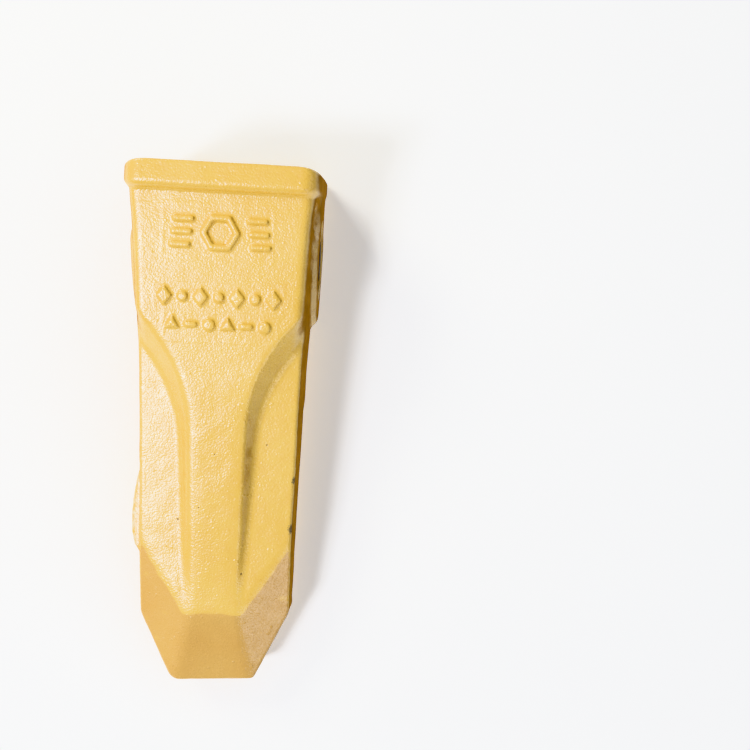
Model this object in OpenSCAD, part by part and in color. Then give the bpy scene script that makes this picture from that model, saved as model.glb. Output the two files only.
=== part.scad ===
// Excavator bucket tooth, rock-chisel pattern, with its rubber-cored lock pin.
// Frame: origin on the pin axis at the tooth's centre, +X along the pin,
// +Y towards the cutting edge, +Z normal to the broad face. Millimetres.

/* [Casting] */
// Overall length, rear mouth to cutting edge
tooth_l = 282; // [278:1:288]
// Distance from the rear mouth to the pin axis
pin_y = 47; // [46:0.5:48]
// Length of the collar round the mouth
collar_l = 14.4; // [13:0.2:15.4]
// Half width of the collar at mid height
collar_w = 49.2; // [49:0.1:50]
// Half height of the collar
collar_h = 48.4; // [48:0.1:49]
// Half height of the body just in front of the collar
body_h = 43.8; // [43.4:0.1:44]
// Half height of the rib where the tip bevel starts
rib_end_h = 21; // [20.5:0.1:21.5]
// Half thickness of the cutting edge
edge_h = 10; // [9.5:0.1:11]
// Half width of the cutting edge
edge_w = 22; // [21:0.1:23]
// Skew of the cutting edge, as a slope across the width
end_skew = 0.075; // [0.03:0.015:0.09]
// Distance from the mouth to the start of the tip bevel
bevel_y = 240.5; // [238.5:0.5:242]
// Corner radius of the collar
collar_r = 9; // [8:0.5:10]
// Corner radius of the body
body_r = 5.5; // [4.5:0.5:6.5]
// Side draft, millimetres of width per millimetre of height
draft = 0.035; // [0.02:0.001:0.05]

/* [Ears and pin hole] */
// Diameter of the pin hole
hole_d = 25.5; // [25.5:0.05:25.8]
// Half distance over the pin bosses
boss_x = 48.6; // [48.4:0.1:48.9]
// Depth of the dish round the pin hole
dish_d = 3; // [2.5:0.1:3.5]
// Height of the dish
dish_w = 33; // [31:0.5:34]

/* [Adapter socket] */
// Half width of the socket at the mouth
socket_w = 35.5; // [34.5:0.5:36.5]
// Half height of the socket at the mouth
socket_h = 37.5; // [36.5:0.5:38]
// Depth of the socket
socket_l = 116; // [112:1:120]
// Half width of the socket floor
socket_w2 = 26; // [24:0.5:27]
// Half height of the socket floor
socket_h2 = 11; // [9.5:0.5:12]

/* [Cast marks] */
// Height of the raised marks
mark_h = 1.2; // [0.8:0.1:1.6]
// Width of the raised strokes
mark_w = 3.2; // [2.6:0.1:3.6]

/* [Lock pin] */
// Radius of the steel bars
pin_r = 12; // [11.9:0.05:12]
// Length of the pin
pin_l = 96; // [94:0.5:96]
// Thickness of the rubber between the bars
rubber_t = 6; // [5:0.5:7]
// Depth of the waist in the lock bar
waist_d = 1.8; // [1.4:0.1:2]
// Length of the waist floor
waist_l = 60; // [56:1:62]

/* [Hidden] */
paint = [0.93, 0.72, 0.30];
// Half gap by which the rubber pushes each bar towards the hole wall
spread = hole_d / 2 - pin_r - 0.05;
// The rubber's lower and upper face
rub_z0 = -1;
rub_z1 = rub_z0 + rubber_t;
// Corner steps of every rounded section
K = 5;

// Half width of the body at mid height, against distance from the mouth
side_tab = [[0, 48.2], [18, 47.6], [32, 46], [60, 45], [82, 44.1], [105, 43.2], [135, 42.6],
            [157, 42.3], [180, 41.8], [225, 41.4], [bevel_y, 41.3], [tooth_l, edge_w]];
// Half width of the flat rib top and of the rib's foot
rib_top_tab = [[77, 40], [81.5, 35.8], [85, 32.4], [88.5, 29.9], [93.5, 26.6], [99, 23.7],
               [104, 21.2], [110.5, 18.7], [117, 16.8], [124, 15.3], [134, 14.5], [148, 14.2],
               [186, 13.4], [225, 12.8], [bevel_y, 14]];
rib_foot_tab = [[77, 44], [84, 44], [88.5, 42.6], [93, 39.7], [98, 36.1], [104, 32], [110.5, 28.7],
                [117, 25.9], [123, 23.7], [131, 21.6], [142, 20.2], [152, 19.6], [168, 18.9],
                [184, 18.3], [200, 17.5], [215, 16.2], [226, 15], [bevel_y, 14.5]];

function slope_h() = (body_h - rib_end_h) / (bevel_y - collar_l);
// Half height of the broad face and rib top
function top_h(v) = v <= bevel_y ? body_h - (v - collar_l) * slope_h() : rib_end_h;
// Half height of the blade beside the rib
function blade_h(v) = lookup(v, [[0, 31], [92, 27.3], [130, rib_end_h + 3.3], [160, rib_end_h + 1.3], [190, rib_end_h],
                                 [215, rib_end_h - 0.6], [bevel_y, rib_end_h - 0.4], [tooth_l, rib_end_h - 2]]);
function side_w(v) = lookup(v, side_tab);

// A closed section at distance v: quarter points are mirrored into four quarters
function ring(v, mid, q) = let (n = len(q), y = v - pin_y) concat(
    [[mid, y, 0]],
    [for (p = q) [p[0], y, p[1]]],
    [for (i = [n - 1:-1:0]) [-q[i][0], y, q[i][1]]],
    [[-mid, y, 0]],
    [for (p = q) [-p[0], y, -p[1]]],
    [for (i = [n - 1:-1:0]) [q[i][0], y, -q[i][1]]]);

// Quarter of a drafted rounded rectangle
function rquart(mid, h, r) = let (x = mid - draft * (h - r))
    [for (i = [0:K]) let (a = 90 * i / K) [x - r + r * cos(a), h - r + r * sin(a)]];

// Skin through a list of closed sections of equal length
module loft(s) {
    n = len(s[0]);
    m = len(s);
    polyhedron(
        points = [for (a = s) each a],
        faces = concat(
            [[for (i = [n - 1:-1:0]) i]],
            [[for (i = [0:n - 1]) (m - 1) * n + i]],
            [for (j = [0:m - 2]) for (i = [0:n - 1]) each [
                [j * n + i, (j + 1) * n + (i + 1) % n, (j + 1) * n + i],
                [j * n + i, j * n + (i + 1) % n, (j + 1) * n + (i + 1) % n]]]));
}

// Collar: rounded rectangle with eased edges, blending into the body
module collar() {
    loft([for (e = [[0, 1.2], [1.2, 0], [collar_l - 4, 0], [collar_l - 2.4, 0.7],
                    [collar_l - 0.8, 2.6], [collar_l, 4.6]])
        ring(e[0], collar_w - e[1] * 0.6, rquart(collar_w - e[1] * 0.6, collar_h - e[1], collar_r - e[1] * 0.5))]);
}

// Quarter of the body at distance v: rounded while it is full width; further on
// the side and a small corner, the blade, then the sloping wall and flat top of the rib
function body_quart(v) = v <= 76 ? rquart(side_w(v), top_h(v), body_r) : let (
        z = lookup(v, corner_tab(v)), x = side_w(v) - draft * z,
        f = min(lookup(v, rib_foot_tab), x - 3.2), t = min(lookup(v, rib_top_tab), f - 0.4))
    [[x, z - 2.5], [x - 0.75, z - 0.75], [x - 2.5, z], [f, z],
     [(f + t) / 2 + 0.3, (z + top_h(v)) / 2 - 0.2], [t, top_h(v)]];

// Height of the blade's corner, where the hollow runs out on the flank
function corner_tab(v) = [[76, 37], [80, 34.8], [84, 31.6], [88, 28.9], [92, blade_h(92)], [bevel_y, blade_h(bevel_y)], [tooth_l, blade_h(tooth_l)]];

// Tapering body, the blade, and the central rib that grows out of the body
module body() {
    loft([for (v = [2, 18, 32, 60, 76, 80, 84, 88, 92, 96, 100, 105, 111, 117, 124, 132, 148, 168, 190, 215, 228, bevel_y, tooth_l])
        let (q = body_quart(v)) ring(v, side_w(v), q)]);
}

// Block whose lower face passes through a point with a given upward normal
module above(p, n) {
    translate(p) rotate([0, acos(n[2] / norm(n)), atan2(n[1], n[0])])
        translate([-120, -120, 0]) cube([240, 240, 60]);
}

// Tip bevels: one across the rib end and one on each blade corner
bev_n = [0, rib_end_h - edge_h, tooth_l - bevel_y];
pa = [40.2, 192.4 - pin_y, blade_h(192.4)];
pb = [14.9, bevel_y - 2 - pin_y, rib_end_h - 0.2];
pc = [edge_w - 0.5, tooth_l - pin_y, edge_h];
cor_n = cross(pc - pa, pb - pa);

module tip_bevels() {
    for (m = [0, 1]) mirror([0, 0, m]) {
        above([0, bevel_y - pin_y, rib_end_h], bev_n);
        for (k = [0, 1]) mirror([k, 0, 0]) above(pa, cor_n);
    }
    above([edge_w, tooth_l - pin_y, 0], [-end_skew, 1, 0]);
}

// Outline of a boss above mid height: a neck from the collar, a shoulder, and a
// long taper to a rounded nose; distance from the mouth against height
boss_tab = [[10.5, 15], [24, 16.8], [31, 19.4], [36, 24.6], [40, 26.6], [45, 25], [56, 20.8], [66, 15.8], [74.5, 10.4], [79.6, 5]];
// The same outline, closed below and scaled by k about the pin axis
function boss_pts(k) = [for (p = concat([[81.2, 0]], [for (i = [9:-1:0]) boss_tab[i]], [for (i = [0:9]) [boss_tab[i][0], -boss_tab[i][1]]]))
    [(p[0] - pin_y) * k, p[1] * k]];

// One pin boss with sloping flanks and an eased rim
module boss() {
    for (k = [0, 1]) mirror([k, 0, 0])
        loft([for (s = [[36, 1.22], [44, 1.14], [46.6, 1.07], [47.8, 1.03], [boss_x, 0.985]])
            let (q = boss_pts(s[1]), n = len(q)) [for (i = [n - 1:-1:0]) [s[0], q[i][0], q[i][1]]]]);
}

// Dish round the pin hole, a slot with round ends
module dish() {
    for (k = [0, 1]) mirror([k, 0, 0]) translate([boss_x - dish_d, 0, 0]) {
        for (y = [-4.5, 4.5]) translate([0, y, 0]) rotate([0, 90, 0]) cylinder(d = dish_w, h = 12, $fn = 72);
        translate([0, -4.5, -dish_w / 2]) cube([12, 9, dish_w]);
    }
}

// Tapered socket for the adapter nose
module socket() {
    loft([for (e = [[-1, 1.2], [1.2, 0], [socket_l - 14, 0], [socket_l, 0]]) let (
            t = e[0] < 2 ? 0 : (e[0] - 1.2) / (socket_l - 1.2),
            w = socket_w + (socket_w2 - socket_w) * t + e[1], h = socket_h + (socket_h2 - socket_h) * t + e[1])
        ring(e[0], w, [for (i = [0:K]) let (a = 90 * i / K) [w - 6 + 6 * cos(a), h - 6 + 6 * sin(a)]])]);
}

// Ground-down ingate stub on one flank
module gate_stub() {
    translate([0, -pin_y, -9]) linear_extrude(18)
        polygon([[38, 152], [42, 157], [45, 168], [47.2, 180], [47.8, 188], [47.6, 199], [45.6, 207], [41, 213], [38, 214]]);
}

// The mouth's rim runs forward towards the two flanks
module rim_slopes() {
    for (s = [-1, 1]) scale([s, 1, 1]) translate([0, -pin_y, 0])
        linear_extrude(height = 2 * collar_h + 10, center = true)
            polygon([[38.5, -2], [38.5, 0], [44, 0.9], [47.5, 2.4], [collar_w + 0.1, 3.8], [60, 3.8], [60, -2]]);
}

// Generic cast marks on the upper broad face: a ring between bars, and two rows of
// lozenges, pips, dashes and triangles
module marks() {
    a = atan(slope_h());
    translate([0, collar_l - pin_y, body_h]) rotate([-a, 0, 0]) translate([0, 0, -1.5]) {
        h = mark_h + 1.5;
        translate([0, 20.5, 0]) difference() {
            cylinder(r = 10.2, h = h, $fn = 6);
            translate([0, 0, -1]) cylinder(r = 6.6, h = h + 2, $fn = 6);
        }
        for (s = [-1, 1]) for (k = [0:2])
            translate([s * (18.4 + k * 0.9) - 5.5, 14 + k * 6.5 - mark_w / 2, 0]) cube([11, mark_w, h]);
        for (i = [0:6]) translate([-27.6 + i * 9.2, 53, 0])
            if (i % 2 == 0) scale([0.78, 1, 1]) cylinder(d = 10.4, h = h, $fn = 4); else cylinder(d = 5.6, h = h, $fn = 16);
        for (i = [0:5]) translate([-23.5 + i * 9.4, 67.2, 0])
            if (i % 3 == 1) translate([-3.5, -mark_w / 2, 0]) cube([7, mark_w, h]);
            else if (i % 3 == 2) rotate([0, 0, -90]) cylinder(d = 9, h = h, $fn = 3);
            else cylinder(d = 6.6, h = h, $fn = 16);
    }
}

// Outer skin of the casting with its socket, before the pin hole is bored
module casting() {
    resize([0, 0, 0]) difference() {
        union() {
            collar();
            difference() {
                body();
                tip_bevels();
            }
            boss();
            gate_stub();
            marks();
        }
        rim_slopes();
        socket();
    }
}

// The whole point: one steel casting
module tooth_point() {
    color(paint) difference() {
        casting();
        dish();
        translate([-60, 0, 0]) rotate([0, 90, 0]) cylinder(d = hole_d, h = 120, $fn = 96);
    }
}

// Spindle outline of a pin bar about X, waisted in the middle by w
module spindle(w) {
    e = pin_l / 2;
    c = 1.6;
    r = 1.732 * w;
    rotate([0, 90, 0]) rotate_extrude($fn = 96)
        polygon(w > 0
            ? [[0, -e], [pin_r - c, -e], [pin_r, -e + c], [pin_r, -waist_l / 2 - r], [pin_r - w, -waist_l / 2],
               [pin_r - w, waist_l / 2], [pin_r, waist_l / 2 + r], [pin_r, e - c], [pin_r - c, e], [0, e]]
            : [[0, -e], [pin_r - c, -e], [pin_r, -e + c], [pin_r, e - c], [pin_r - c, e], [0, e]]);
}

// Larger steel bar, below the rubber
module pin_main_bar() {
    color([0.30, 0.30, 0.31]) intersection() {
        translate([0, 0, -spread]) spindle(0);
        translate([-60, -20, -40 + rub_z0]) cube([120, 40, 40]);
    }
}

// Rubber strip bonded between the bars
module pin_rubber_core() {
    color([0.08, 0.08, 0.08]) translate([-pin_l / 2 + 2, -8, rub_z0]) cube([pin_l - 4, 16, rubber_t]);
}

// Smaller steel bar, above the rubber, waisted where the adapter's land sits
module pin_lock_bar() {
    color([0.34, 0.34, 0.35]) intersection() {
        translate([0, 0, spread]) spindle(waist_d);
        translate([-60, -20, rub_z1]) cube([120, 40, 40]);
    }
}

tooth_point();
pin_main_bar();
pin_rubber_core();
pin_lock_bar();
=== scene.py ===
import math

import bpy
import numpy as np
from mathutils import Matrix, Vector


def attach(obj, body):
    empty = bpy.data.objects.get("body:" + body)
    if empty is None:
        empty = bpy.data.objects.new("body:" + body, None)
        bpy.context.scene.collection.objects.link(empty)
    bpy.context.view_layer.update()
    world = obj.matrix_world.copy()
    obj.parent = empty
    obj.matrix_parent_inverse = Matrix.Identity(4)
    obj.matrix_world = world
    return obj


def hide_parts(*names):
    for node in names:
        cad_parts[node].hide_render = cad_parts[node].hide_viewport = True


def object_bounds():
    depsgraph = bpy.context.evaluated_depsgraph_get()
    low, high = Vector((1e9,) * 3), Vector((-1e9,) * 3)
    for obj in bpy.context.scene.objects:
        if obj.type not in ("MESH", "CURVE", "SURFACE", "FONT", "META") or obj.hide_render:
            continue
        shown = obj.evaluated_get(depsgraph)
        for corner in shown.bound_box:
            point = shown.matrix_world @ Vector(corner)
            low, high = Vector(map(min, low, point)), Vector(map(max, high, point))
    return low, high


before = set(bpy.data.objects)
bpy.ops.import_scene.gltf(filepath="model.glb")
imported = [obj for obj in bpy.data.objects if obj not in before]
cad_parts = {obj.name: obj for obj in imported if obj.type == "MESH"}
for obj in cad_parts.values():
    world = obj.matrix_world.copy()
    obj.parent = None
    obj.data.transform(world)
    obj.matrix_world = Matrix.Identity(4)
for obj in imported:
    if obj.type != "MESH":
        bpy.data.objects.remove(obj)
CAD_BOX = [list(map(float, c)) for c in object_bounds()]

# ------------------------------------------------------------------ helpers
# The casting is one distance field in millimetres: x across, v from the rear
# mouth towards the cutting edge (row y = v - PIN), z normal to the broad face.
PIN = 47.0
L, BEV, COL = 282.0, 240.5, 14.4
CW, CH = 49.2, 48.4
BODY_H, RIB_H, EDGE_H, EDGE_W = 43.8, 21.0, 10.0, 22.0
SLOPE = (BODY_H - RIB_H) / (BEV - COL)
DRAFT = 0.035
SKEW = 0.075
BOSS_X, DISH, HOLE = 48.6, 3.0, 12.75


def smooth_tab(tab, sigma):
    """A table of listed points, sampled finely and blurred so that no crease shows."""
    t = np.array(tab, float)
    g = np.arange(-40.0, 330.0, 0.5)
    f = np.interp(g, t[:, 0], t[:, 1])
    k = np.exp(-0.5 * (np.arange(-int(8 * sigma), int(8 * sigma) + 1) * 0.5 / sigma) ** 2)
    k /= k.sum()
    p = len(k) // 2
    f = np.convolve(np.pad(f, p, mode="edge"), k, mode="valid")
    return g, f, np.gradient(f, g)


def at(tab, v, slope=False):
    return np.interp(v, tab[0], tab[2] if slope else tab[1])


SIDE = smooth_tab([(0, 48.2), (18, 47.6), (32, 46.1), (60, 45), (82, 44.1), (105, 43.2), (135, 42.6),
                   (157, 42.3), (180, 41.8), (225, 41.35), (300, 40.6)], 6)
RIB_TOP = smooth_tab([(60, 60), (77, 40.6), (81.5, 35.8), (85, 32.6), (88.5, 29.9), (93.5, 26.6), (99, 23.7),
                      (104, 21.2), (110.5, 18.7), (117, 16.8), (124, 15.3), (134, 14.5), (148, 14.2),
                      (186, 13.4), (225, 12.8), (240, 13.6), (290, 15)], 3)
RIB_FOOT = smooth_tab([(60, 70), (80, 49), (88.5, 43.2), (93, 39.7), (98, 36.1), (104, 32), (110.5, 28.7),
                       (117, 25.9), (123, 23.7), (131, 21.6), (142, 20.2), (152, 19.6), (168, 18.9),
                       (184, 18.3), (200, 17.5), (215, 16.2), (226, 15.1), (240, 14.7), (290, 15.6)], 3)
BLADE = smooth_tab([(0, 31), (92, 27.3), (130, 24.3), (160, 22.3), (190, 21.0), (215, 20.4), (240.5, 20.6), (300, 18.1)], 5)


def meet(a, b, r):
    """Intersection with a convex edge rounded to r."""
    return np.minimum(-r, np.maximum(a, b)) + np.hypot(np.maximum(a + r, 0), np.maximum(b + r, 0))


def join(a, b, r):
    """Union with a fillet of r."""
    return np.maximum(r, np.minimum(a, b)) - np.hypot(np.maximum(r - a, 0), np.maximum(r - b, 0))


def carve(a, b, r):
    """a without b, with the edge rounded to r."""
    return meet(a, -b, r)


def seg2(px, py, a, b, r):
    """Distance to a round-ended stroke from a to b in a plane."""
    dx, dy = b[0] - a[0], b[1] - a[1]
    t = np.clip(((px - a[0]) * dx + (py - a[1]) * dy) / max(dx * dx + dy * dy, 1e-9), 0, 1)
    return np.hypot(px - a[0] - t * dx, py - a[1] - t * dy) - r


def poly2(px, py, pts):
    """Signed distance to a closed polygon in a plane, negative inside."""
    d = np.full(px.shape, 1e9)
    inside = np.zeros(px.shape, bool)
    n = len(pts)
    for i in range(n):
        (ax, ay), (bx, by) = pts[i], pts[(i + 1) % n]
        ex, ey = bx - ax, by - ay
        wx, wy = px - ax, py - ay
        t = np.clip((wx * ex + wy * ey) / (ex * ex + ey * ey), 0, 1)
        d = np.minimum(d, (wx - ex * t) ** 2 + (wy - ey * t) ** 2)
        c = (ay > py) != (by > py)
        with np.errstate(divide="ignore", invalid="ignore"):
            xi = ax + (py - ay) * ex / (ey if ey else 1e-9)
        inside ^= c & (px < xi)
    d = np.sqrt(d)
    return np.where(inside, -d, d)


def noise3(x, y, z, cell, seed):
    """Value noise from a seeded lattice, about -1 to 1."""
    n = 48
    lat = np.random.RandomState(seed).uniform(-1, 1, (n, n, n)).astype(np.float32)
    out = 0
    p = [np.asarray(c, float) / cell + 400 for c in (x, y, z)]
    i = [np.floor(c).astype(np.int64) for c in p]
    f = [c - k for c, k in zip(p, i)]
    f = [c * c * (3 - 2 * c) for c in f]
    i0 = [k % n for k in i]
    i1 = [(k + 1) % n for k in i]
    for a in (0, 1):
        for b in (0, 1):
            for c in (0, 1):
                w = (f[0] if a else 1 - f[0]) * (f[1] if b else 1 - f[1]) * (f[2] if c else 1 - f[2])
                out = out + w * lat[(i1 if a else i0)[0], (i1 if b else i0)[1], (i1 if c else i0)[2]]
    return out


# Boss outline above mid height: neck from the collar, shoulder, long taper
BOSS_UP = [(9.0, 14.6), (24, 16.4), (30, 18.6), (35.5, 23.6), (39.5, 25.8), (44.5, 24.6), (56, 20.6), (66, 15.6),
           (74.0, 10.2), (78.6, 5.2)]
BOSS = [(80.2, 0.0)] + BOSS_UP[::-1] + [(v, -z) for v, z in BOSS_UP]

# Planes of the tip: bevel across the rib end, one bevel on each blade corner
NB = np.array([0, RIB_H - EDGE_H, L - BEV]); NB = NB / np.linalg.norm(NB)
PA = np.array([40.2, 192.4, 20.95])
PB = np.array([14.9, BEV - 2, RIB_H - 0.2])
PC = np.array([EDGE_W - 0.5, L, EDGE_H])
NC = np.cross(PC - PA, PB - PA); NC = NC / np.linalg.norm(NC)
NS = np.array([L - BEV, 41.3 - EDGE_W]); NS = NS / np.linalg.norm(NS)


HEXAGON = [(8.4 * math.cos(math.radians(60 * i)), 8.4 * math.sin(math.radians(60 * i))) for i in range(6)]


def marks2(x, s):
    """Generic raised marks on the upper face, in the face's own plane: s from the collar."""
    d = np.abs(poly2(x, s - 20.5, HEXAGON)) - 1.6
    for sg in (-1, 1):
        for k in (0, 1, 2):
            cx, cy = sg * (18.4 + k * 0.9), 14 + k * 6.5
            d = np.minimum(d, seg2(x, s, (cx - 4.0, cy), (cx + 4.0, cy), 1.5))
    for i in range(7):
        cx = -27.6 + i * 9.2
        if i % 2 == 0:
            d = np.minimum(d, poly2(x, s, [(cx - 4.0, 53), (cx, 58.1), (cx + 4.0, 53), (cx, 47.9)]) - 0.1)
        else:
            d = np.minimum(d, np.hypot(x - cx, s - 53) - 2.75)
    for i in range(6):
        cx = -23.5 + i * 9.4
        if i % 3 == 1:
            d = np.minimum(d, seg2(x, s, (cx - 2.0, 67.2), (cx + 2.0, 67.2), 1.5))
        elif i % 3 == 2:
            d = np.minimum(d, poly2(x, s, [(cx, 62.8), (cx - 3.8, 69.4), (cx + 3.8, 69.4)]) - 0.1)
        else:
            d = np.minimum(d, np.hypot(x - cx, s - 67.2) - 3.2)
    return d


def plates2(x, s):
    """Faint joints round the inserts that carried the marks in the mould."""
    out = np.zeros(x.shape)
    for cx, cy, hx, hy in ((1, 21, 27.5, 14.5), (0, 53, 32.5, 8.2), (-1, 68.6, 29, 7.4)):
        q = seg2(x, s, (cx - hx + 5, cy), (cx + hx - 5, cy), 0)
        dx, dy = np.abs(x - cx) - hx, np.abs(s - cy) - hy
        q = np.minimum(np.maximum(dx, dy), 0) + np.hypot(np.maximum(dx, 0), np.maximum(dy, 0))
        out = np.maximum(out, np.exp(-(q / 0.55) ** 2))
    return out


def casting(x, v, z):
    ax, az = np.abs(x), np.abs(z)
    # long solids
    side = (ax - at(SIDE, v) + DRAFT * az) / math.sqrt(1 + DRAFT ** 2)
    top = (az - (BODY_H - (v - COL) * SLOPE)) / math.sqrt(1 + SLOPE ** 2)
    bl = az - at(BLADE, v) + 0.045 * np.clip(ax - 26.0, -6, 20)
    a, b, h = at(RIB_TOP, v), at(RIB_FOOT, v), np.maximum(BODY_H - (v - COL) * SLOPE - at(BLADE, v), 0.4)
    wz = (b - a) / h
    wall_w = a + wz * (BODY_H - (v - COL) * SLOPE - az)
    wall = (ax - wall_w) / np.sqrt(1 + wz ** 2 + at(RIB_TOP, v, True) ** 2)
    crown = top + 0.12 * (ax - (a - 2.4)) * np.clip((v - 108) / 14, 0, 1)
    rib = meet(meet(meet(top, crown, 0.6), wall, np.where(x > 0, 2.1, 1.2)), side, 5.2)
    blade = meet(bl, side, 2.2)
    d = join(rib, blade, 1.8)
    # tip
    d = meet(d, NB[1] * (v - BEV) + NB[2] * (az - RIB_H), 0.9)
    d = meet(d, NC[0] * (ax - PA[0]) + NC[1] * (v - PA[1]) + NC[2] * (az - PA[2]), 1.0)
    taper = NS[0] * (ax - np.where(x > 0, 42.2, 40.4)) + NS[1] * (v - BEV)
    end = (v - L + SKEW * (EDGE_W - x)) / math.hypot(1, SKEW)
    plan = meet(taper, end, np.where(x > 0, 4.5, 1.2))
    d = meet(d, plan, 1.0)
    # parting line left by the mould on the flanks
    flank = np.clip((v - 95) / 20, 0, 1) * np.clip((6 + side) / 6, 0, 1)
    d = d - 0.28 * flank * np.exp(-((z - 0.6 * np.sin(v * 0.05)) / 0.8) ** 2)
    # collar
    box = meet(ax - (CW - 0.012 * az), az - CH, 9.0)
    col = meet(meet(box, v - COL, 4.2), -v, 1.3)
    d = join(np.maximum(d, -v + 2), col, 1.7)
    # bosses
    near = (ax > 30) & (v < 100)
    if near.any():
        o = poly2(v[near], z[near], BOSS)
        o = (o - 0.55 * (BOSS_X - ax[near])) / math.sqrt(1 + 0.55 ** 2)
        bo = meet(o, ax[near] - BOSS_X, 2.0)
        d[near] = join(d[near], np.maximum(bo, 2 - v[near]), 3.2)
        # pocket above and below the neck
        e = [(ax[near] - 51.2) / 7.0, (v[near] - 26.0) / 10.5, (az[near] - 28.5) / 12.5]
        k0 = np.sqrt(e[0] ** 2 + e[1] ** 2 + e[2] ** 2)
        k1 = np.sqrt((e[0] / 7.0) ** 2 + (e[1] / 10.5) ** 2 + (e[2] / 12.5) ** 2)
        d[near] = carve(d[near], k0 * (k0 - 1) / np.maximum(k1, 1e-6), 1.6)
    # ingate stub, ground down, on one flank only
    near = (x > 34) & (v > 140) & (v < 228)
    if near.any():
        g = np.interp(v[near], [150, 157, 168, 180, 188, 199, 206, 212, 216], [38, 42, 45.0, 47.1, 47.7, 47.5, 45.8, 41.5, 37])
        st = meet((x[near] - g) * 0.95, np.abs(z[near]) - 9.2 + 0.25 * (x[near] - 41), 1.6)
        d[near] = join(d[near], st, 1.8)
    # marks on the upper face
    near = (z > 30) & (v > 20) & (v < 96)
    if near.any():
        sx = (v[near] - COL) * math.hypot(1, SLOPE)
        m = marks2(x[near], sx)
        t = top[near]
        pad = meet(m + 0.35 * t, t - 1.25, 0.55)
        flat = np.clip((4.5 - np.abs(t)) / 3, 0, 1)
        rag = 0.55 + 0.45 * noise3(x[near], v[near], z[near], 7.0, 9)
        d[near] = join(d[near] - 0.2 * flat * rag * plates2(x[near], sx), pad, 0.5)
    # the rim runs forward towards the two flanks
    rim = np.interp(ax, [34, 37, 40, 43, 46, 48.3, 50], [0, 0.05, 0.35, 0.95, 2.0, 3.2, 4.4])
    d = meet(d, (rim - v) * 0.95, 1.3)
    # nicks on the edge of one flank
    for nx, nv, nz, nr in ((-42.0, 163.0, 21.5, 1.3), (-41.7, 188.5, 20.2, 1.1), (-41.5, 191.5, 20.4, 1.5), (-41.2, 225.0, 19.6, 0.9)):
        d = carve(d, np.sqrt((x - nx) ** 2 + ((v - nv) / 1.7) ** 2 + (z - nz) ** 2) - nr, 0.4)
    # dish, pin hole and socket
    near = ax > 30
    if near.any():
        sl = seg2(v[near], z[near], (PIN - 4.5, 0), (PIN + 4.5, 0), 16.2)
        dish = meet(sl, BOSS_X - DISH - ax[near], 1.2)
        d[near] = carve(d[near], dish, 1.4)
    hole = np.hypot(v - PIN, z) - HOLE
    d = carve(d, hole, 0.8)
    t = np.clip(v / 116, -0.1, 1.2)
    sx, sz = 35.5 - 9.5 * t, 37.5 - 26.5 * t
    soc = meet(ax - sx, (az - sz) * 0.975, 6.0)
    soc = meet(soc, v - 116, 5.0)
    d = carve(d, soc, 2.0)
    # unevenness of the sand mould
    d = d + 0.16 * noise3(x, v, z, 17.0, 5) + 0.07 * noise3(x, v, z, 5.3, 6)
    return d


def evaluate(f, x, v, z):
    out = np.empty(x.size)
    for i in range(0, x.size, 400000):
        s = slice(i, i + 400000)
        out[s] = f(x[s], v[s], z[s])
    return out


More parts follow.
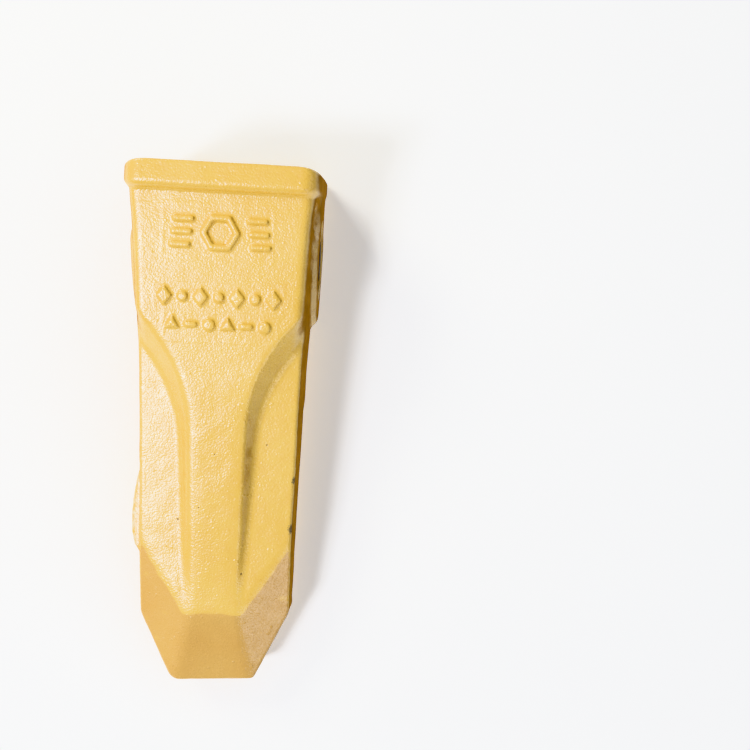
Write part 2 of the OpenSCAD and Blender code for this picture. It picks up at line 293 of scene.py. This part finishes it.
def surface(f, lo, hi, step, coarse=4):
    """Closed quad mesh of f = 0: a coarse pass, a fine pass near the surface, surface nets, then the points are drawn onto the surface."""
    lo, hi = np.array(lo, float), np.array(hi, float)
    big = step * coarse
    n = np.ceil((hi - lo) / big).astype(int) + 1
    ax = [lo[i] + big * np.arange(n[i]) for i in range(3)]
    g = np.stack(np.meshgrid(*ax, indexing="ij"), -1).reshape(-1, 3)
    c = evaluate(f, g[:, 0], g[:, 1], g[:, 2]).reshape(n)
    # coarse value spread to the fine grid by repeated halving
    fine = c
    for axis in range(3):
        m = fine.shape[axis]
        t = np.arange((m - 1) * coarse + 1) / coarse
        i = np.minimum(t.astype(int), m - 2)
        w = (t - i).reshape([-1 if k == axis else 1 for k in range(3)])
        fine = np.take(fine, i, axis) * (1 - w) + np.take(fine, i + 1, axis) * w
    nf = fine.shape
    fx = [lo[i] + step * np.arange(nf[i]) for i in range(3)]
    idx = np.nonzero(np.abs(fine).ravel() < 0.75 * big)[0]
    iz = idx % nf[2]
    iy = (idx // nf[2]) % nf[1]
    ix = idx // (nf[1] * nf[2])
    vals = evaluate(f, fx[0][ix], fx[1][iy], fx[2][iz])
    flat = fine.ravel().copy()
    flat[idx] = vals
    F = flat.reshape(nf)
    s = F < 0
    # cells that the surface passes through
    acc = np.zeros([k - 1 for k in nf], np.int8)
    for a in (0, 1):
        for b in (0, 1):
            for cc in (0, 1):
                acc += s[a:nf[0] - 1 + a, b:nf[1] - 1 + b, cc:nf[2] - 1 + cc]
    cells = np.stack(np.nonzero((acc > 0) & (acc < 8)), 1)
    vid = np.full(acc.shape, -1, np.int64)
    vid[cells[:, 0], cells[:, 1], cells[:, 2]] = np.arange(len(cells))
    pos = np.zeros((len(cells), 3))
    cnt = np.zeros(len(cells))
    corner = [(a, b, c2) for a in (0, 1) for b in (0, 1) for c2 in (0, 1)]
    for p in corner:
        for k in range(3):
            if p[k]:
                continue
            q = list(p); q[k] = 1
            fa = F[cells[:, 0] + p[0], cells[:, 1] + p[1], cells[:, 2] + p[2]]
            fb = F[cells[:, 0] + q[0], cells[:, 1] + q[1], cells[:, 2] + q[2]]
            cross = (fa < 0) != (fb < 0)
            t = np.where(cross, fa / np.where(fa == fb, 1, fa - fb), 0)
            e = np.array(p, float)[None, :].repeat(len(cells), 0)
            e[:, k] += t
            pos += np.where(cross[:, None], e, 0)
            cnt += cross
    pos = pos / cnt[:, None] + cells
    P = lo + pos * step
    for _ in range(3):
        e = 0.12
        d0 = evaluate(f, P[:, 0], P[:, 1], P[:, 2])
        gr = np.stack([evaluate(f, P[:, 0] + (e if k == 0 else 0), P[:, 1] + (e if k == 1 else 0), P[:, 2] + (e if k == 2 else 0)) - d0 for k in range(3)], 1) / e
        gg = np.maximum((gr ** 2).sum(1), 0.2)
        mv = -gr * (d0 / gg)[:, None]
        ln = np.linalg.norm(mv, axis=1)
        mv *= np.minimum(1, 0.6 * step / np.maximum(ln, 1e-9))[:, None]
        P = P + mv
    quads = []
    for k in range(3):
        u, w = (k + 1) % 3, (k + 2) % 3
        sl0 = [slice(None)] * 3; sl1 = [slice(None)] * 3
        sl0[k] = slice(0, -1); sl1[k] = slice(1, None)
        ch = s[tuple(sl0)] != s[tuple(sl1)]
        e = np.stack(np.nonzero(ch), 1)
        ok = (e[:, u] > 0) & (e[:, w] > 0) & (e[:, u] < nf[u] - 1) & (e[:, w] < nf[w] - 1)
        e = e[ok]
        inside = s[e[:, 0], e[:, 1], e[:, 2]]
        def cell(du, dw):
            c3 = e.copy(); c3[:, u] -= du; c3[:, w] -= dw
            return vid[c3[:, 0], c3[:, 1], c3[:, 2]]
        q = np.stack([cell(0, 0), cell(1, 0), cell(1, 1), cell(0, 1)], 1)
        q = np.where(inside[:, None], q, q[:, ::-1])
        quads.append(q)
    Q = np.concatenate(quads)
    return P, Q


def mesh_object(name, P, Q):
    me = bpy.data.meshes.new(name)
    me.vertices.add(len(P))
    me.vertices.foreach_set("co", np.ascontiguousarray(P, np.float32).ravel())
    me.loops.add(Q.size)
    me.loops.foreach_set("vertex_index", Q.astype(np.int32).ravel())
    me.polygons.add(len(Q))
    me.polygons.foreach_set("loop_start", np.arange(0, Q.size, Q.shape[1], dtype=np.int32))
    me.polygons.foreach_set("use_smooth", np.ones(len(Q), bool))
    me.update(calc_edges=True)
    me.validate()
    o = bpy.data.objects.new(name, me)
    bpy.context.collection.objects.link(o)
    return o


# ------------------------------------------------------------------ casting
STEP = 0.85
P, Q = surface(casting, (-51.5, -2.6, -50.7), (51.5, 285.0, 50.7), STEP)
P[:, 1] -= PIN
lo, hi = np.array(CAD_BOX[0]) * 1000 + 0.02, np.array(CAD_BOX[1]) * 1000 - 0.02
P = np.clip(P, lo, hi)
tooth = mesh_object("tooth_casting", P / 1000.0, Q)
print("casting", len(P), "points", len(Q), "quads")
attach(tooth, "tooth")
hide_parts("tooth_point")


# ------------------------------------------------------------------ materials
def nt(name):
    m = bpy.data.materials.new(name)
    m.use_nodes = True
    m.node_tree.nodes.clear()
    return m, m.node_tree.nodes, m.node_tree.links


class Net:
    def __init__(self, name):
        self.m, self.n, self.l = nt(name)
        self.out = self.n.new("ShaderNodeOutputMaterial")
        self.b = self.n.new("ShaderNodeBsdfPrincipled")
        self.l.new(self.b.outputs[0], self.out.inputs[0])
        self.tc = self.n.new("ShaderNodeTexCoord")

    def link(self, a, b):
        self.l.new(a, b)

    def noise(self, scale, detail=3.0, rough=0.55, vec=None, dist=0.0):
        t = self.n.new("ShaderNodeTexNoise")
        t.inputs["Scale"].default_value = scale
        t.inputs["Detail"].default_value = detail
        t.inputs["Roughness"].default_value = rough
        t.inputs["Distortion"].default_value = dist
        self.link(vec or self.tc.outputs["Object"], t.inputs["Vector"])
        return t.outputs["Fac"]

    def voronoi(self, scale, feature="F1", rand=1.0):
        t = self.n.new("ShaderNodeTexVoronoi")
        t.feature = feature
        if feature == "SMOOTH_F1":
            t.inputs["Smoothness"].default_value = 0.6
        t.inputs["Scale"].default_value = scale
        t.inputs["Randomness"].default_value = rand
        self.link(self.tc.outputs["Object"], t.inputs["Vector"])
        return t.outputs["Distance"]

    def ramp(self, fac, a, b, ca=0.0, cb=1.0):
        t = self.n.new("ShaderNodeMapRange")
        t.clamp = True
        t.interpolation_type = "SMOOTHSTEP"
        t.inputs["From Min"].default_value = a
        t.inputs["From Max"].default_value = b
        t.inputs["To Min"].default_value = ca
        t.inputs["To Max"].default_value = cb
        self.link(fac, t.inputs["Value"])
        return t.outputs["Result"]

    def math(self, op, a, b=None):
        t = self.n.new("ShaderNodeMath")
        t.operation = op
        for k, q in ((0, a), (1, b)):
            if q is None:
                continue
            if isinstance(q, (int, float)):
                t.inputs[k].default_value = q
            else:
                self.link(q, t.inputs[k])
        return t.outputs[0]

    def mix(self, fac, a, b):
        t = self.n.new("ShaderNodeMix")
        t.data_type = "RGBA"
        if isinstance(fac, (int, float)):
            t.inputs["Factor"].default_value = fac
        else:
            self.link(fac, t.inputs["Factor"])
        for k, q in (("A", a), ("B", b)):
            sock = [i for i in t.inputs if i.name == k and i.type == "RGBA"][0]
            if isinstance(q, tuple):
                sock.default_value = (*q, 1.0)
            else:
                self.link(q, sock)
        return [o for o in t.outputs if o.type == "RGBA"][0]

    def bump(self, height, strength, dist, normal=None):
        t = self.n.new("ShaderNodeBump")
        t.inputs["Strength"].default_value = strength
        t.inputs["Distance"].default_value = dist
        self.link(height, t.inputs["Height"])
        if normal is not None:
            self.link(normal, t.inputs["Normal"])
        return t.outputs["Normal"]

    def xyz(self):
        t = self.n.new("ShaderNodeSeparateXYZ")
        self.link(self.tc.outputs["Object"], t.inputs[0])
        return t.outputs


def lin(r, g, b):
    return tuple(((c / 255 + 0.055) / 1.055) ** 2.4 if c / 255 > 0.04045 else c / 255 / 12.92 for c in (r, g, b))


def paint():
    k = Net("yellow_paint")
    geo = k.n.new("ShaderNodeNewGeometry")
    point = geo.outputs["Pointiness"]
    big = k.noise(26, 3, 0.5)
    mid = k.noise(160, 3, 0.6)
    grain = k.noise(1250, 1.5, 0.5)
    base = k.mix(k.ramp(big, 0.3, 0.7), lin(235, 194, 96), lin(241, 203, 108))
    base = k.mix(k.math("MULTIPLY", k.ramp(mid, 0.35, 0.75), 0.3), base, lin(226, 178, 82))
    base = k.mix(k.math("MULTIPLY", k.ramp(grain, 0.50, 0.30), 0.22), base, lin(206, 154, 60))
    # painted highlight on convex edges, painted shade in the hollows
    edge = k.ramp(point, 0.53, 0.60)
    painted_shade_hollow = k.ramp(point, 0.475, 0.42)
    base = k.mix(k.math("MULTIPLY", painted_shade_hollow, 0.5), base, lin(176, 118, 40))
    base = k.mix(k.math("MULTIPLY", edge, 0.25), base, lin(246, 212, 130))
    # pin holes and specks of dirt
    sp = k.voronoi(105)
    speck = k.math("MULTIPLY", k.ramp(sp, 0.085, 0.05), k.ramp(k.noise(38, 2), 0.55, 0.60))
    base = k.mix(k.math("MULTIPLY", speck, 0.75), base, lin(96, 64, 30))
    # chips down to steel along the sharpest edges, fewer on the broad face
    chip = k.math("MULTIPLY", k.ramp(point, 0.565, 0.59), k.ramp(k.noise(150, 3, 0.7), 0.585, 0.64))
    x, y, z = k.xyz()[0], k.xyz()[1], k.xyz()[2]
    for cx, cy, cz, cr in ((-0.0420, 0.1160, 0.0210, 0.0026), (-0.0415, 0.1430, 0.0200, 0.0034), (-0.0412, 0.1780, 0.0195, 0.0018)):
        g = k.n.new("ShaderNodeVectorMath")
        g.operation = "DISTANCE"
        k.link(k.tc.outputs["Object"], g.inputs[0])
        g.inputs[1].default_value = (cx, cy, cz)
        q = k.math("ADD", g.outputs["Value"], k.math("MULTIPLY", k.math("SUBTRACT", grain, 0.5), 0.004))
        chip = k.math("MAXIMUM", chip, k.ramp(q, cr, cr * 0.55))
    base = k.mix(k.math("MULTIPLY", chip, 0.85), base, lin(62, 48, 36))
    # painted shade on the flanks: duller and darker towards straight sideways
    s = k.n.new("ShaderNodeSeparateXYZ")
    k.link(k.tc.outputs["Normal"], s.inputs[0])
    # painted shade on the bevelled end: the faces turned towards the tip are darker and browner
    painted_shade_bevel = k.math("MULTIPLY", k.ramp(s.outputs[1], 0.132, 0.168), k.ramp(y, 0.128, 0.136))
    base = k.mix(k.math("MULTIPLY", painted_shade_bevel, 0.9), base, k.mix(k.ramp(big, 0.3, 0.7), lin(206, 161, 92), lin(212, 170, 100)))
    flank = k.ramp(k.math("ADD", k.math("ABSOLUTE", s.outputs[0]), k.math("MULTIPLY", k.math("SUBTRACT", mid, 0.5), 0.25)), 0.72, 0.98)
    # ground face of the ingate stub: grind scratches, with a painted whitish highlight
    stub_grind_and_painted_sheen = k.math("MULTIPLY", k.ramp(x, 0.0432, 0.0446), k.math("MULTIPLY", k.ramp(y, 0.106, 0.112), k.ramp(y, 0.170, 0.164)))
    t = k.n.new("ShaderNodeMapping")
    t.inputs["Scale"].default_value = (300, 260, 1500)
    k.link(k.tc.outputs["Object"], t.inputs["Vector"])
    scratch = k.noise(1.0, 3, 0.65, t.outputs["Vector"])
    base = k.mix(k.math("MULTIPLY", stub_grind_and_painted_sheen, k.ramp(scratch, 0.38, 0.6)), base, lin(232, 214, 176))
    # bare, oxidised casting deeper inside the socket
    inx = k.ramp(k.math("ABSOLUTE", x), 0.0372, 0.0350)
    zz = k.math("ABSOLUTE", z)
    lim = k.math("SUBTRACT", 0.0385, k.math("MULTIPLY", k.math("ADD", y, 0.047), 0.2285))
    inz = k.ramp(k.math("SUBTRACT", zz, lim), 0.0016, -0.0004)
    deep = k.ramp(k.math("ADD", y, k.math("MULTIPLY", k.noise(60, 4, 0.65), 0.030)), -0.034, -0.010)
    ins = k.math("MULTIPLY", k.math("MULTIPLY", inx, inz), deep)
    ins = k.math("MULTIPLY", ins, k.ramp(y, 0.0745, 0.0735))
    steel = k.mix(k.ramp(k.noise(120, 4, 0.7), 0.35, 0.7), lin(58, 50, 46), lin(104, 70, 48))
    base = k.mix(ins, base, steel)
    k.link(base, k.b.inputs["Base Color"])
    ro = k.ramp(mid, 0.2, 0.8, 0.23, 0.30)
    ro = k.math("ADD", ro, k.math("MULTIPLY", ins, 0.35))
    ro = k.math("ADD", ro, k.math("MULTIPLY", k.math("MAXIMUM", speck, chip), 0.3))
    k.link(ro, k.b.inputs["Roughness"])
    k.b.inputs["Specular IOR Level"].default_value = 1.0
    # sand grain under the paint, and its orange peel
    dots = k.voronoi(1000, "SMOOTH_F1")
    h = k.math("SUBTRACT", k.math("MULTIPLY", grain, 0.7), k.math("MULTIPLY", dots, 0.45))
    h = k.math("ADD", h, k.math("MULTIPLY", k.noise(420, 1, 0.5), 0.45))
    h = k.math("ADD", h, k.math("MULTIPLY", k.noise(90, 1, 0.5), 1.0))
    # sparse blobs of sand that broke through
    blob = k.math("MULTIPLY", k.ramp(k.voronoi(330), 0.32, 0.05), k.ramp(k.noise(70, 2), 0.50, 0.66))
    h = k.math("ADD", h, k.math("MULTIPLY", blob, 0.9))
    h = k.math("ADD", h, k.math("MULTIPLY", k.math("MULTIPLY", stub_grind_and_painted_sheen, scratch), 2.0))
    h = k.math("SUBTRACT", h, k.math("MULTIPLY", speck, 0.7))
    h = k.math("SUBTRACT", h, k.math("MULTIPLY", chip, 0.5))
    n1 = k.bump(h, 1.0, 0.00016)
    k.link(n1, k.b.inputs["Normal"])
    # painted shade: a darker brown, duller paint blended onto the sideways faces
    painted_shade_flank_bsdf = k.n.new("ShaderNodeBsdfPrincipled")
    k.link(k.mix(k.ramp(k.noise(70, 4, 0.65), 0.35, 0.7), lin(148, 102, 24), lin(176, 126, 44)), painted_shade_flank_bsdf.inputs["Base Color"])
    k.link(k.ramp(mid, 0.3, 0.7, 0.7, 0.9), painted_shade_flank_bsdf.inputs["Roughness"])
    painted_shade_flank_bsdf.inputs["Specular IOR Level"].default_value = 0.0
    k.link(n1, painted_shade_flank_bsdf.inputs["Normal"])
    both = k.n.new("ShaderNodeMixShader")
    k.link(k.math("MULTIPLY", k.math("MULTIPLY", flank, 0.95), k.math("SUBTRACT", 1.0, k.math("MAXIMUM", ins, stub_grind_and_painted_sheen))), both.inputs[0])
    k.link(k.b.outputs[0], both.inputs[1])
    k.link(painted_shade_flank_bsdf.outputs[0], both.inputs[2])
    k.link(both.outputs[0], k.out.inputs[0])
    return k.m


def pin_steel(name, a, b):
    k = Net(name)
    mid = k.noise(220, 4, 0.65)
    base = k.mix(k.ramp(mid, 0.35, 0.7), lin(*a), lin(*b))
    rust = k.ramp(k.noise(90, 5, 0.7), 0.60, 0.72)
    base = k.mix(k.math("MULTIPLY", rust, 0.6), base, lin(96, 62, 40))
    k.link(base, k.b.inputs["Base Color"])
    k.b.inputs["Metallic"].default_value = 0.25
    k.link(k.math("ADD", k.ramp(mid, 0.2, 0.8, 0.45, 0.62), k.math("MULTIPLY", rust, 0.25)), k.b.inputs["Roughness"])
    t = k.n.new("ShaderNodeMapping")
    t.inputs["Scale"].default_value = (30, 900, 900)
    k.link(k.tc.outputs["Object"], t.inputs["Vector"])
    h = k.math("ADD", k.noise(1.0, 2, 0.6, t.outputs["Vector"]), k.math("MULTIPLY", k.noise(600, 3, 0.6), 0.7))
    k.link(k.bump(h, 0.5, 0.00012), k.b.inputs["Normal"])
    return k.m


def rubber():
    k = Net("pin_rubber")
    base = k.mix(k.ramp(k.noise(140, 4, 0.6), 0.35, 0.7), lin(24, 24, 25), lin(44, 42, 40))
    k.link(base, k.b.inputs["Base Color"])
    k.link(k.ramp(k.noise(300, 3, 0.6), 0.3, 0.7, 0.55, 0.75), k.b.inputs["Roughness"])
    k.link(k.bump(k.noise(1400, 3, 0.6), 0.5, 0.0001), k.b.inputs["Normal"])
    return k.m


tooth.data.materials.append(paint())
MATS = {"pin_main_bar": pin_steel("pin_steel_main", (34, 29, 24), (54, 46, 38)),
        "pin_lock_bar": pin_steel("pin_steel_lock", (38, 33, 28), (60, 52, 43)),
        "pin_rubber_core": rubber()}
for node, m in MATS.items():
    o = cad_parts[node]
    if not o.material_slots:
        o.data.materials.append(m)
    else:
        for s in o.material_slots:
            s.material = m

# ------------------------------------------------------------------ stage
# The tooth lies on the floor on its collar and on the edge of the tip bevel, so
# the floor is a plane through those two lines, in the tooth's own frame.
C0 = Vector((0, (10.4 - PIN) / 1000, -0.0484))
C1 = Vector((0, (BEV - PIN) / 1000, -0.021))
tilt = math.atan2(C1.z - C0.z, C1.y - C0.y)
bpy.ops.mesh.primitive_plane_add(size=16)
floor = bpy.context.object
floor.name = "floor"
floor.matrix_world = Matrix.Translation(C0 + Vector((0, 0, -0.0006))) @ Matrix.Rotation(tilt, 4, "X")
k = Net("floor_paper")
k.link(k.mix(k.ramp(k.noise(3, 2), 0.3, 0.7), (0.86, 0.86, 0.86), (0.90, 0.90, 0.90)), k.b.inputs["Base Color"])
k.b.inputs["Roughness"].default_value = 0.9
k.b.inputs["Emission Color"].default_value = (1, 1, 1, 1)
k.b.inputs["Emission Strength"].default_value = 0.42
k.b.inputs["Specular IOR Level"].default_value = 0.1
floor.data.materials.append(k.m)

world = bpy.data.worlds.new("studio")
bpy.context.scene.world = world
world.use_nodes = True
bg = world.node_tree.nodes["Background"]
bg.inputs[0].default_value = (0.97, 0.98, 1.0, 1)
bg.inputs[1].default_value = 0.12
bpy.context.scene.view_settings.view_transform = "Khronos PBR Neutral"
bpy.context.scene.view_settings.look = "None"

# ------------------------------------------------------------------ camera
F_PX = 1070.0


def camera_frame():
    """Camera axes of the tooth's own directions: across (image right), towards the tip (image down), towards the camera."""
    d = np.array([(369.8 - 375) / F_PX, (240.1 - 375) / F_PX, 1.0]); d /= np.linalg.norm(d)
    u = np.array([1.0, 0, 0]); u -= u.dot(d) * d; u /= np.linalg.norm(u)
    w = np.cross(d, u)
    c, s = math.cos(math.radians(3.1)), math.sin(math.radians(3.1))
    return c * u + s * w, -s * u + c * w, -d


U, V, W = camera_frame()
T = np.array([-72.547, -105.117, 546.497]) * (282.0 / 268.0 / 1.011) + np.array([0.3, -0.85, 0.0])
# camera = R @ row + T, camera axes x right, y down, z forward
R = np.stack([-U, V, W], 1)
Tc = T + V * PIN
S = np.diag([1.0, -1.0, -1.0])
Rb, Tb = S @ R, S @ Tc / 1000.0
M = Matrix([[*Rb[0], Tb[0]], [*Rb[1], Tb[1]], [*Rb[2], Tb[2]], [0, 0, 0, 1]])
cam_data = bpy.data.cameras.new("camera")
cam = bpy.data.objects.new("camera", cam_data)
bpy.context.collection.objects.link(cam)
cam.matrix_world = M.inverted()
cam_data.sensor_width = 36.0
cam_data.lens = F_PX / 750 * 36.0
cam_data.clip_start = 0.01
bpy.context.scene.camera = cam
CM = cam.matrix_world


def light(name, u, v, w, dist, size, level, colour):
    """Soft area light. u, v, w: towards image right, image bottom and the camera, seen from the tooth. level is the share of full white that it gives."""
    d = Vector((-u, v, w)).normalized()
    ld = bpy.data.lights.new(name, "AREA")
    ld.shape = "RECTANGLE"
    ld.size, ld.size_y = size
    ld.energy = level * math.pi ** 2 * dist ** 2
    ld.color = colour
    o = bpy.data.objects.new(name, ld)
    bpy.context.collection.objects.link(o)
    o.location = Vector((0, 0.094, 0.02)) + d * dist
    o.rotation_euler = (-d).to_track_quat("-Z", "Y").to_euler()
    return o


light("key", -0.55, -0.65, 0.58, 1.0, (0.40, 0.40), 0.70, (1.0, 0.985, 0.90))
light("window", -0.47, 0.26, 1.0, 2.2, (0.30, 0.56), 0.80, (0.91, 0.94, 1.0))
light("edge_strip", -0.72, 0.22, 0.78, 1.8, (0.22, 0.70), 0.17, (1.0, 0.98, 0.95))
light("low_window", 0.495, 0.652, 0.668, 2.0, (0.6, 0.6), 0.10, (0.96, 0.95, 1.0))
light("side_strip", 0.84, 0.04, 0.55, 2.0, (0.30, 0.60), 0.03, (0.95, 0.94, 1.0))
